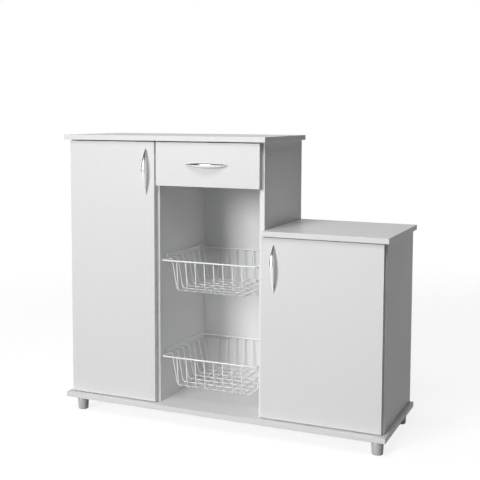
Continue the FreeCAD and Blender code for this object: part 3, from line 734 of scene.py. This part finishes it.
@dataclass
class Boards:
    """The faced boards, the backing boards and every fitting that keeps its own mesh."""

    body_boards: tuple = ("base_board", "left_side_panel", "left_divider", "right_divider",
                          "right_side_panel", "left_top_board", "right_top_board", "niche_ceiling_board",
                          "left_shelf_1", "left_shelf_2", "right_shelf_1")
    front_boards: tuple = ("left_door_board", "right_door_board", "drawer_front_board", "drawer_left_side",
                           "drawer_right_side", "drawer_back_board")
    slot_finishes: dict[str, Finish] = field(default_factory=lambda: {
        "backing_board": HARDBOARD, "dowel_wood": BEECH, "roller_plastic": ROLLER_PLASTIC,
        "coated_steel": RUNNER_COAT, "zinc_steel": ZINC, "grey_plastic": FOOT_PLASTIC,
        "channel_plastic": CHANNEL_PLASTIC, "coated_wire": WIRE_COAT, "chrome": CHROME_UPRIGHT})

    def finish(self, node: str, slot: str) -> Finish:
        """A node's finish.

        Args:
            node: the node's name.
            slot: its material slot, which tells the finish of everything but the faced boards.

        Returns:
            The finish. A board's is the one for its place and for the axis across its thickness.
        """
        if node not in self.body_boards + self.front_boards:
            return self.slot_finishes[slot]
        low, high = box(node)
        thin = list(Axis)[int(np.argmin(high - low))]
        kind = "body" if node in self.body_boards else "front"
        return FacedBoard(f"white_board_{kind}_{thin.name.lower()}", "white_board", thin, kind == "body")

    def dress(self) -> int:
        """Give every node its finish.

        Returns:
            How many nodes were dressed.
        """
        slots = {part["node"]: part["material_slot"] for part in _FRAME["record"]["subparts"]}
        for node, piece in _FRAME["nodes"].items():
            for material_slot in piece.material_slots:
                material_slot.material = self.finish(node, slots[node]).material()
        return len(slots)


@dataclass
class BowHandle:
    """A bow handle with leaf-shaped pointed ends on two posts."""

    node: str
    body: str
    upright: bool
    rise: float = 17.8 * MM
    width: float = 12.0 * MM
    thickness: float = 6.0 * MM
    tip: float = 1.2 * MM
    post_pitch: float = 96.0 * MM
    post_radius: float = 3.6 * MM
    post_flare: float = 1.6 * MM
    swell_power: float = 0.75
    inner_share: float = 0.72
    rows: int = 81
    sides: int = 36

    def bow(self, length: float) -> Array:
        """The bow with its middle at the origin, along X, on the plane Y = 0.

        The centre line is a parabola of the stated rise. Width and thickness swell as a power of one minus
        the square of the place along, and the section is an ellipse whose inner side is flattened.

        Args:
            length: from tip to tip.

        Returns:
            Array of rows, columns and 3.
        """
        along = np.sin(np.linspace(-math.pi / 2.0, math.pi / 2.0, self.rows))
        swell = (1.0 - along ** 2) ** self.swell_power
        wide = (self.tip + (self.width - self.tip) * swell) / 2.0
        thick = (self.tip + (self.thickness - self.tip) * swell) / 2.0
        level = np.zeros_like(along)
        centre = np.stack([along * length / 2.0, -self.rise * (1.0 - along ** 2), level], axis=-1)
        slope = np.arctan2(2.0 * self.rise * along, length / 2.0)
        normal = np.stack([-np.sin(slope), np.cos(slope), level], axis=-1)
        ring = circle(self.sides)
        depth = ring[:, :1] * np.where(ring[:, :1] > 0.0, self.inner_share, 1.0)
        return (centre[:, None] + thick[:, None, None] * depth[None] * normal[:, None]
                + wide[:, None, None] * ring[None, :, 1:] * Axis.Z.vector)

    def build(self) -> bpy.types.Object:
        """Make the handle in the place of its node.

        Returns:
            The handle.
        """
        low, high = box(self.node)
        middle = (low + high) / 2.0
        length = (high - low)[2 if self.upright else 0]
        turn = np.array([[0.0, 0.0, 1.0], [0.0, 1.0, 0.0], [-1.0, 0.0, 0.0]]) if self.upright else np.eye(3)
        seat = np.array([middle[0], high[1], middle[2]])
        bow = self.bow(length)
        bow[..., 1] -= bow[..., 1].max()
        surface = Surface()
        surface.grid(bow @ turn.T + seat)
        reach = self.rise * (1.0 - (self.post_pitch / length) ** 2)
        share = np.linspace(0.0, 1.0, CURVE_ROWS)
        radius = self.post_radius + self.post_flare * (1.0 - share) ** 3
        profile = np.stack([radius, share * reach], axis=-1)
        for side in (-0.5, 0.5):
            foot = seat + turn[:, 0] * side * self.post_pitch
            surface.grid(lathe(profile, foot, -Axis.Y.vector))
        finish = CHROME_UPRIGHT if self.upright else CHROME_LEVEL
        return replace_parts(surface.build(f"{self.node}_bow", finish, self.body), self.node)


@dataclass
class WireBasket:
    """A coated wire basket: a closed rim, long wires over cross wires, and a bead of coat at each weld."""

    node: str
    rim_radius: float = 2.5 * MM
    wire_radius: float = 1.5 * MM
    corner_radius: float = 9.0 * MM
    height: float = 94.0 * MM
    taper: float = 10.0 * MM
    side_taper: float = 31.0 * MM
    shoulder: float = 13.0 * MM
    bend: float = 12.0 * MM
    shoulder_bend: float = 4.0 * MM
    weld: float = 0.4 * MM
    long_pitch: float = 29.5 * MM
    long_count: int = 8
    cross_pitch: float = 36.0 * MM
    cross_count: int = 7
    cross_start: float = 39.0 * MM
    bead: float = 2.1 * MM
    bead_offset: float = 2.0 * MM
    bead_rows: int = 6
    bead_sides: int = 8
    pole_gap: float = 0.08

    def bead_ball(self, surface: Surface, centre: Array) -> None:
        """Add a small ball of coat where two wires cross.

        Args:
            surface: the basket so far.
            centre: the ball's middle.
        """
        turn = np.linspace(self.pole_gap, math.pi - self.pole_gap, self.bead_rows)
        profile = np.stack([np.sin(turn), -np.cos(turn)], axis=-1) * self.bead
        surface.grid(lathe(profile, centre, Axis.Z.vector, self.bead_sides))

    def build(self) -> bpy.types.Object:
        """Make the basket in the place of its node.

        Returns:
            The basket.
        """
        low, high = box(self.node)
        left, right = low[0] + self.rim_radius, high[0] - self.rim_radius
        front, rear = low[1] + self.rim_radius, high[1] - self.rim_radius
        rim = high[2] - self.rim_radius
        middle = (left + right) / 2.0
        surface = Surface()
        corners = np.array([[middle, front, rim], [right, front, rim], [right, rear, rim],
                            [left, rear, rim], [left, front, rim], [middle, front, rim]])
        path = bent_line(corners, np.full(4, self.corner_radius), steps=10)[:-1]
        surface.grid(tube(path, self.rim_radius, Axis.Z.vector, sides=16, closed=True), loop=True)
        floor = rim - self.height
        over = floor + 2.0 * self.wire_radius - self.weld
        longs = middle + self.long_pitch * (np.arange(self.long_count) - (self.long_count - 1) / 2.0)
        crosses = front + self.cross_start + self.cross_pitch * np.arange(self.cross_count)
        for place in longs:
            line = np.array([[place, front, rim], [place, front + self.taper, over],
                             [place, rear - self.taper, over], [place, rear, rim]])
            path = bent_line(line, np.full(2, self.bend))
            surface.grid(tube(path, self.wire_radius, Axis.X.vector))
            for end in (front, rear):
                self.bead_ball(surface, np.array([place, end, rim - self.bead_offset]))
            for cross in crosses:
                self.bead_ball(surface, np.array([place, cross, floor + self.wire_radius - self.weld / 2.0]))
        for place in crosses:
            line = np.array([[left, place, rim], [left + self.shoulder, place, rim],
                             [left + self.side_taper, place, floor], [right - self.side_taper, place, floor],
                             [right - self.shoulder, place, rim], [right, place, rim]])
            bends = np.array([self.shoulder_bend, self.bend, self.bend, self.shoulder_bend])
            surface.grid(tube(bent_line(line, bends), self.wire_radius, Axis.Y.vector))
            for end in (left + self.bead_offset, right - self.bead_offset):
                self.bead_ball(surface, np.array([end, place, rim]))
        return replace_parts(surface.build(f"{self.node}_wires", WIRE_COAT, self.node), self.node)


@dataclass
class EasedFitting:
    """A moulded or pressed fitting whose sharp edges are eased."""

    node: str
    body: str
    finish: Finish
    ease: float = 0.35 * MM
    steps: int = 2
    weld: float = 0.005 * MM
    flat: float = math.radians(1.0)
    sharp: float = math.radians(40.0)

    def build(self) -> bpy.types.Object:
        """Make the fitting in the place of its node.

        The node's mesh is welded, its flat faces are joined, and each edge that turns sharply outwards is
        cut by a short round.

        Returns:
            The fitting.
        """
        work = bmesh.new()
        work.from_mesh(frame_mesh(self.node))
        bmesh.ops.remove_doubles(work, verts=work.verts, dist=self.weld)
        bmesh.ops.dissolve_limit(work, angle_limit=self.flat, verts=work.verts, edges=work.edges)
        edges = [edge for edge in work.edges if len(edge.link_faces) == 2
                 and edge.calc_face_angle_signed() > self.sharp]
        bmesh.ops.bevel(work, geom=edges, offset=self.ease, offset_type="OFFSET", segments=self.steps,
                        profile=0.5, affect="EDGES", clamp_overlap=True)
        bmesh.ops.remove_doubles(work, verts=work.verts, dist=self.weld)
        bmesh.ops.dissolve_degenerate(work, edges=work.edges, dist=self.weld)
        bmesh.ops.recalc_face_normals(work, faces=work.faces)
        mesh = bpy.data.meshes.new(f"{self.node}_eased")
        work.to_mesh(mesh)
        work.free()
        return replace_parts(riding(mesh, self.finish, self.body), self.node)


@dataclass
class TaperedFoot:
    """A moulded foot that widens upwards, with a collar under the base and a hollow from below.

    Each eased corner is a few offsets from its sharp place, out and up, in millimetres.
    """

    node: str
    bottom_radius: float = 15.5 * MM
    edge: float = 2.0 * MM
    wall: float = 3.0 * MM
    web: float = 8.0 * MM
    collar: float = 3.0 * MM
    groove: float = 0.5 * MM
    groove_height: float = 0.8 * MM
    axis_gap: float = 0.2 * MM
    sides: int = 64
    edge_rows: int = 8
    roof_corner: tuple = ((-1.0, 0.0), (0.0, -1.0))
    mouth_corner: tuple = ((0.0, 0.6), (0.4, 0.1), (0.8, 0.0))
    lip_corner: tuple = ((-0.3, 0.2), (0.0, 0.6))
    top_corner: tuple = ((0.0, -0.3), (-0.4, 0.0))

    @staticmethod
    def eased(offsets: tuple, radius: float, height: float) -> Array:
        """An eased corner's points, from its offsets and its sharp place."""
        return np.array(offsets) * MM + [radius, height]

    def profile(self, top_radius: float, top: float) -> Array:
        """Half of the foot's section.

        It runs from the roof of the hollow down to the mouth, round the rounded edge, up the tapered side,
        past the groove and the collar, and in along the top.

        Args:
            top_radius: the collar's radius.
            top: the foot's height.

        Returns:
            Radius and height of each point.
        """
        bottom = self.bottom_radius
        taper = (top_radius - bottom) / top
        inner = bottom - self.edge - self.wall
        roof = top - self.web
        turn = np.linspace(0.0, math.pi / 2.0, self.edge_rows)
        across, upward = np.sin(turn) - 1.0, 1.0 - np.cos(turn)
        under = top - self.collar
        side = bottom + taper * under
        groove = [[side - taper * self.groove_height, under - self.groove_height],
                  [side - self.groove, under - self.groove_height / 2.0], [side - self.groove, under]]
        return np.concatenate([
            [[self.axis_gap, roof]], self.eased(self.roof_corner, inner, roof),
            self.eased(self.mouth_corner, inner, 0.0),
            np.stack([bottom + self.edge * across, self.edge * upward], axis=-1), groove,
            self.eased(self.lip_corner, top_radius, under), self.eased(self.top_corner, top_radius, top),
            [[self.axis_gap, top]]])

    def build(self) -> bpy.types.Object:
        """Make the foot in the place of its node.

        Returns:
            The foot.
        """
        low, high = box(self.node)
        middle = (low + high) / 2.0
        profile = self.profile((high[0] - low[0]) / 2.0, high[2])
        surface = Surface()
        surface.grid(lathe(profile, middle * [1.0, 1.0, 0.0], Axis.Z.vector, self.sides))
        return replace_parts(surface.build(f"{self.node}_moulding", FOOT_PLASTIC, "carcass"), self.node)


class Drive(Enum):
    """What a fastener's head shows."""

    CROSS = "cross"
    PLAIN = "plain"


@dataclass
class Fasteners:
    """All the screws or nails of one node, each with a formed head."""

    node: str
    body: str
    head_radius: float
    shank_radius: float
    drive: Drive = Drive.CROSS
    dome: float = 0.28 * MM
    recess: float = 0.9 * MM
    rim: float = 0.5 * MM
    bar_share: float = 0.16
    arm_share: float = 0.62
    bar_power: int = 6
    arm_power: int = 12
    first_ring: float = 0.02
    sides: int = 24

    def head(self, length: float) -> Array:
        """One fastener along +Z with its head's top at the origin, pointing down its length.

        Rows run from the head's middle out to the rim, down the head's cone and along the shank. The top is
        a shallow dome, less a recess whose two bars are smooth steps of the distance from each bar's line.

        Args:
            length: from the head's top to the point.

        Returns:
            Array of rows, columns and 3.
        """
        ring = circle(self.sides)
        share = np.linspace(self.first_ring, 1.0, CURVE_ROWS)
        flat = ring[None] * (share * self.head_radius)[:, None, None]
        sink = self.dome * share[:, None] ** 2
        if self.drive is Drive.CROSS:
            distance = np.minimum(np.abs(flat[..., 0]), np.abs(flat[..., 1]))
            bars = 1.0 + (distance / (self.head_radius * self.bar_share)) ** self.bar_power
            spread = np.linalg.norm(flat, axis=-1)
            arms = 1.0 + (spread / (self.head_radius * self.arm_share)) ** self.arm_power
            sink = sink + self.recess / bars / arms
        top = np.concatenate([flat, -np.broadcast_to(sink, flat.shape[:2])[..., None]], axis=-1)
        under = np.array([[self.head_radius, self.rim], [self.shank_radius, self.head_radius * 0.5],
                          [self.shank_radius, length - self.shank_radius],
                          [self.shank_radius * 0.2, length]])
        shank = lathe(under * [1.0, -1.0], np.zeros(3), Axis.Z.vector, self.sides)
        return np.concatenate([top, shank])

    def build(self) -> bpy.types.Object:
        """Make every fastener of the node, each turned as its solid lies.

        Returns:
            One object with all of them.
        """
        surface = Surface()
        for low, high in islands(self.node):
            span = high - low
            lie = int(np.argmax(span))
            points = self.head(span[lie])
            forward = self.head_side(low, high, lie)
            other, third = (lie + 1) % 3, (lie + 2) % 3
            placed = np.empty_like(points)
            placed[..., lie] = (high[lie] if forward > 0.0 else low[lie]) + forward * points[..., 2]
            placed[..., other] = (low[other] + high[other]) / 2.0 + points[..., 0]
            placed[..., third] = (low[third] + high[third]) / 2.0 + forward * points[..., 1]
            surface.grid(placed)
        piece = surface.build(f"{self.node}_formed", ZINC, self.body)
        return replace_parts(piece, self.node)

    def head_side(self, low: Array, high: Array, lie: int) -> float:
        """Which end of a fastener its head is at: the end where its points lie widest.

        Args:
            low: the fastener's lowest corner.
            high: its highest corner.
            lie: the number of the axis that it lies along.

        Returns:
            1 for the high end and -1 for the low end.
        """
        points = mesh_points(self.node)
        own = points[((points >= low - SAME_PLACE) & (points <= high + SAME_PLACE)).all(axis=1)]
        middle = (low + high) / 2.0
        across = np.delete(own - middle, lie, axis=1)
        radius = np.linalg.norm(across, axis=1)
        wide = own[radius > radius.max() * 0.95, lie].mean()
        return 1.0 if wide > middle[lie] else -1.0


@dataclass(frozen=True)
class Lamp:
    """A square area lamp: watts, side, place, and whether polished metal shows it."""

    name: str
    power: float
    size: float
    place: tuple
    mirrored: bool

    def hang(self, aim: tuple) -> None:
        """Hang the lamp.

        Args:
            aim: the point that it is turned to.
        """
        light = bpy.data.lights.new(self.name, "AREA")
        light.energy = self.power
        light.size = self.size
        lamp = linked(self.name, light)
        lamp.location = self.place
        lamp.rotation_euler = (Vector(aim) - Vector(self.place)).to_track_quat("-Z", "Y").to_euler()
        lamp.visible_glossy = self.mirrored


@dataclass
class Studio:
    """Floor, white surroundings, lamps and the camera at the photograph's angle."""

    floor_size: float = 40.0
    floor_albedo: float = 0.30
    seen_albedo: float = 0.90
    near_share: float = 0.68
    far_share: float = 0.80
    near_reach: float = 1.2
    far_reach: float = 4.0
    glow: float = 1.25
    ambient: float = 0.035
    dark_left: float = 0.88
    dim_right: float = 0.45
    dark_ceiling: float = 0.80
    lamps: tuple = (Lamp("key_lamp", 368.0, 2.4, (-2.77, -7.21, 2.52), mirrored=True),
                    Lamp("top_lamp", 63.0, 1.8, (0.269, -2.557, 3.514), mirrored=False),
                    Lamp("over_lamp", 17.0, 1.0, (-0.55, -0.3, 4.0), mirrored=False))
    aim: tuple = (0.0, 0.0, 0.42)
    camera_place: tuple = (1.06139, -2.42458, 0.91295)
    camera_yaw: float = 23.468
    camera_pitch: float = 4.872
    camera_roll: float = 0.189
    focal_share: float = 888.8 / 480.0
    shift_down: float = 0.10

    @staticmethod
    def ray(graph: Graph, kind: str) -> Value:
        """1 for rays of a kind, else 0."""
        return graph.add("ShaderNodeLightPath", output=f"Is {kind} Ray")

    def seen_white(self, graph: Graph) -> Value:
        """1 for rays that come from the camera, from gloss or through glass, else 0."""
        camera, glossy, through = (self.ray(graph, kind) for kind in ("Camera", "Glossy", "Transmission"))
        return (camera + glossy + through).above(limit=0.5, width=0.1)

    def floor(self) -> None:
        """A pale floor that keeps the cabinet's shadow and goes white away from it.

        The share of glow grows smoothly with the distance from the cabinet, so no horizon shows.
        """
        half = self.floor_size / 2.0
        mesh = bpy.data.meshes.new("floor")
        corners = [(-half, -half, 0.0), (half, -half, 0.0), (half, half, 0.0), (-half, half, 0.0)]
        mesh.from_pydata(corners, [], [(0, 1, 2, 3)])
        paper = bpy.data.materials.new("floor_paper")
        graph = Graph(paper)
        seen = self.seen_white(graph)
        tone = graph.mix(seen, (self.floor_albedo,) * 3, (self.seen_albedo,) * 3)
        matt = graph.add("ShaderNodeBsdfDiffuse", inputs={"Color": tone})
        glow = graph.add("ShaderNodeEmission", inputs={"Strength": self.glow})
        distance = graph.add("ShaderNodeVectorMath", {"operation": "LENGTH"}, {0: graph.place()}, "Value")
        far = distance.above((self.near_reach + self.far_reach) / 2.0, self.far_reach - self.near_reach)
        share = seen * (self.near_share + far * (self.far_share - self.near_share))
        mixed = graph.add("ShaderNodeMixShader", inputs={0: share, 1: matt, 2: glow})
        graph.add("ShaderNodeOutputMaterial", inputs={"Surface": mixed})
        mesh.materials.append(paper)
        linked("floor", mesh)

    def world(self) -> None:
        """White where it is seen, a plain soft light elsewhere, and darker walls at the sides in mirrors."""
        world = bpy.data.worlds.new("surroundings")
        bpy.context.scene.world = world
        graph = Graph(world)
        seen = self.seen_white(graph)
        way = graph.add("ShaderNodeTexCoord", output="Generated")
        across, upward = (graph.add("ShaderNodeSeparateXYZ", inputs={0: way}, output=axis) for axis in "XZ")
        left = 1.0 - (1.0 - across.above(limit=-0.62, width=0.16)) * self.dark_left
        right = 1.0 - across.above(limit=0.15, width=0.6) * self.dim_right
        ceiling = 1.0 - upward.above(limit=0.45, width=0.2) * self.dark_ceiling
        mirrored = 1.0 - self.ray(graph, "Glossy") * (1.0 - left * right * ceiling)
        strength = seen * mirrored + (1.0 - seen) * self.ambient
        light = graph.add("ShaderNodeBackground", inputs={"Color": (*EVEN, 1.0), "Strength": strength})
        graph.add("ShaderNodeOutputWorld", inputs={"Surface": light})

    def camera(self) -> None:
        """The camera of the photograph: level apart from a small tilt, and shifted down a little."""
        data = bpy.data.cameras.new("camera")
        data.lens = data.sensor_width * self.focal_share
        data.shift_y = -self.shift_down
        camera = linked("camera", data)
        yaw = Matrix.Rotation(math.radians(self.camera_yaw), 4, "Z")
        tilt = Matrix.Rotation(math.radians(90.0 - self.camera_pitch), 4, "X")
        roll = Matrix.Rotation(math.radians(self.camera_roll), 4, "Z")
        camera.matrix_world = Matrix.Translation(self.camera_place) @ yaw @ tilt @ roll
        bpy.context.scene.camera = camera

    def build(self) -> None:
        """Set up the whole studio."""
        self.floor()
        self.world()
        for lamp in self.lamps:
            lamp.hang(self.aim)
        self.camera()
        bpy.context.scene.view_settings.view_transform = "Standard"


def screw_sets() -> list[Fasteners]:
    """Every node of screws or nails, with its body and its head's and shank's radius."""
    small, medium, wide = (2.8 * MM, 1.5 * MM), (3.2 * MM, 1.75 * MM), (4.0 * MM, 2.0 * MM)
    doors = ("left_door", "right_door")
    return [
        Fasteners("panel_screws", "carcass", 4.5 * MM, 2.5 * MM, recess=1.6 * MM),
        Fasteners("small_body_screws", "carcass", *small),
        Fasteners("hinge_plate_screws", "carcass", *medium),
        *(Fasteners(f"{door}_hinge_screws", door, *medium) for door in doors),
        *(Fasteners(f"{door}_handle_screws", door, *wide) for door in doors),
        Fasteners("drawer_handle_screws", "drawer", *wide),
        Fasteners("drawer_screws", "drawer", *small),
        Fasteners("moving_runner_screws", "drawer", *small),
        Fasteners("back_panel_nails", "carcass", 2.0 * MM, 0.8 * MM, Drive.PLAIN, dome=0.15 * MM),
    ]


def eased_fittings() -> list[EasedFitting]:
    """The moulded and pressed fittings whose edges can be seen from near."""
    return [
        EasedFitting("basket_channels", "carcass", CHANNEL_PLASTIC),
        EasedFitting("corner_brackets", "carcass", RUNNER_COAT, ease=0.4 * MM),
        EasedFitting("hinge_plates", "carcass", ZINC, ease=0.4 * MM),
        EasedFitting("hinge_arms", "carcass", ZINC, ease=0.3 * MM),
    ]


def main() -> None:
    """Build every piece in order."""
    logging.basicConfig(level=logging.INFO, format="%(name)s: %(message)s")
    _FRAME.update(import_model())
    LOG.info("dressed %d nodes", Boards().dress())
    handles = [BowHandle("left_door_handle", "left_door", upright=True),
               BowHandle("right_door_handle", "right_door", upright=True),
               BowHandle("drawer_handle", "drawer", upright=False)]
    baskets = [WireBasket("lower_basket"), WireBasket("upper_basket")]
    feet = [TaperedFoot(f"foot_{end}_{side}") for end in ("front", "rear") for side in ("left", "right")]
    for piece in (*handles, *baskets, *eased_fittings(), *feet, *screw_sets()):
        LOG.info("made %s", piece.build().name)
    Studio().build()


if __name__ == "__main__":
    main()
